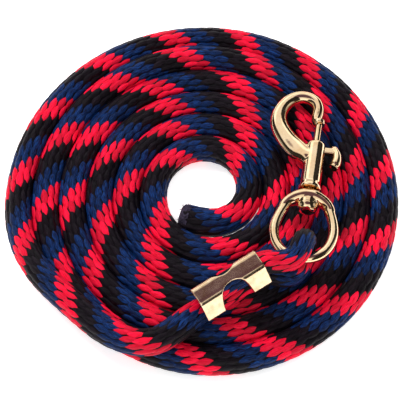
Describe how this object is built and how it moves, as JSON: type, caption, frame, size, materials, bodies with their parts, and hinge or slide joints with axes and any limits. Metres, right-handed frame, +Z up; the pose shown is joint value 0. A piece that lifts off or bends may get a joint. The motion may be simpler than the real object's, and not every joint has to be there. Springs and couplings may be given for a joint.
{
  "type": "horse lead rope",
  "caption": "Coiled three-colour solid-braid lead rope with a crimped end loop, a swivel eye and a spring bolt snap for a halter ring.",
  "frame": {"origin": "under the middle of the coil, on the surface it lies on", "axes": "+Z up, +Y from the crimped loop towards the hook, +X towards the side of the coil that the snap lies on"},
  "size_m": [0.232, 0.232, 0.0499],
  "materials": {
    "rope_black": "black polypropylene yarn, solid braid, slight sheen",
    "rope_navy": "navy polypropylene yarn, solid braid, slight sheen",
    "rope_red": "red polypropylene yarn, solid braid, slight sheen",
    "clamp_brass": "bright brass-plated steel strip",
    "snap_brass": "polished brass-plated die casting",
    "spring_steel": "drawn spring wire"
  },
  "bodies": {
    "rope": {"rope_coil": "rope_black", "rope_free_end": "rope_navy", "rope_lead": "rope_red", "rope_eye_loop": "rope_red", "rope_clamped_strands": "rope_black", "rope_clamp": "clamp_brass"},
    "eye": {"swivel_eye": "snap_brass"},
    "snap": {"snap_body": "snap_brass", "swivel_rivet": "snap_brass", "bolt_spring": "spring_steel"},
    "bolt": {"bolt": "snap_brass", "thumb_knob": "snap_brass"}
  },
  "joints": [
    {"name": "eye_swing", "type": "hinge", "parent": "rope", "child": "eye", "pos_m": [0.05703, -0.05645, 0.0331], "axis": [0.9903, -0.1392, 0], "range_deg": [0, 60]},
    {"name": "swivel", "type": "hinge", "parent": "eye", "child": "snap", "pos_m": [0.0637, -0.009, 0.0279], "axis": [0.1384, 0.9845, -0.108], "range_deg": [0, 18]},
    {"name": "bolt_slide", "type": "slide", "parent": "snap", "child": "bolt", "axis": [-0.1384, -0.9845, 0.108], "range_m": [0, 0.011], "stiffness_N_per_m": 300, "springref_m": -0.008, "deforming": ["bolt_spring"]}
  ]
}
